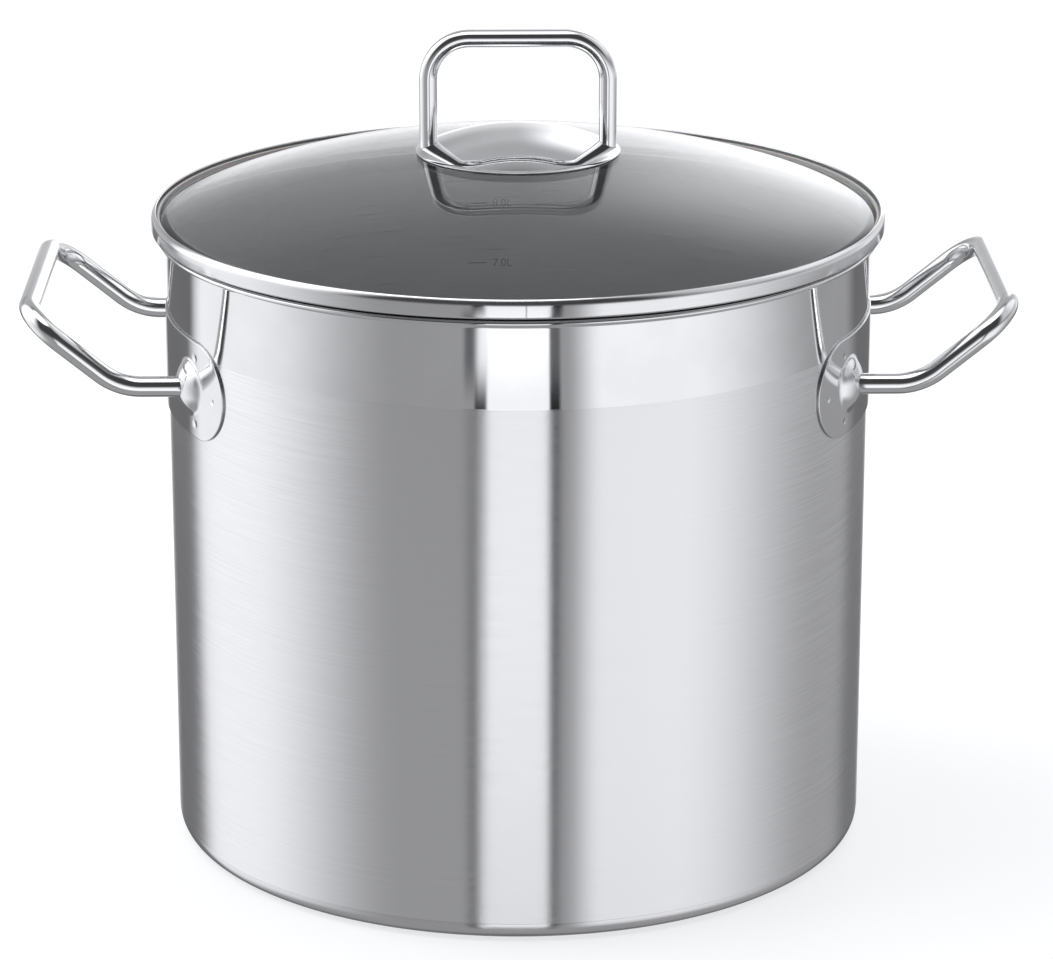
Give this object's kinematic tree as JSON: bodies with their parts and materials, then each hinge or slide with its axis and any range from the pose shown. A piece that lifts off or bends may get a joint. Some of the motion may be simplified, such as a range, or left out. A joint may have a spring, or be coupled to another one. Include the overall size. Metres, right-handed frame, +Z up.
{
  "type": "water bath canner",
  "caption": "Tall round steel pot with fixed rod handles, a domed glass lid in a steel rim with a rod grip, and a wire jar rack standing inside.",
  "frame": {"origin": "centre of the underside of the base, on the pot's axis", "axes": "+Z up along the pot's axis, X through the two side handles and along the lid's grip, Y from front to back"},
  "size_m": [0.3344, 0.2496, 0.281],
  "materials": {
    "wall_steel": "brushed round the wall, mirror band under the rim, satin inside",
    "polished_steel": "mirror polished stainless steel",
    "plain_steel": "plain turned or pressed stainless steel",
    "rack_steel": "electropolished wire",
    "core_aluminium": "rolled, unpolished",
    "lid_glass": "clear toughened glass",
    "silicone": "translucent food-grade silicone"
  },
  "bodies": {
    "pot": {"pot_body": "wall_steel", "base_cap": "wall_steel", "base_core": "core_aluminium", "handle_plate_left": "polished_steel", "handle_plate_right": "polished_steel", "side_handle_left": "polished_steel", "side_handle_right": "polished_steel"},
    "lid": {"lid_rim": "polished_steel", "lid_glass": "lid_glass", "glass_edge_seal": "silicone", "lid_rosette": "polished_steel", "lid_handle_loop": "polished_steel", "rosette_boss": "plain_steel", "grommet": "silicone", "lower_seal": "silicone", "lower_washer": "plain_steel", "lid_screw": "plain_steel"},
    "rack": {"rack_ring_1": "rack_steel", "rack_ring_2": "rack_steel", "rack_ring_3": "rack_steel", "rack_ring_4": "rack_steel", "rack_runner_1": "rack_steel", "rack_runner_2": "rack_steel", "rack_runner_3": "rack_steel"}
  },
  "joints": [
    {"name": "lid_lift", "type": "slide", "parent": "pot", "child": "lid", "axis": [0, 0, 1], "range_m": [0, 0.25]},
    {"name": "rack_lift", "type": "slide", "parent": "pot", "child": "rack", "axis": [0, 0, 1], "range_m": [0, 0.16]}
  ]
}
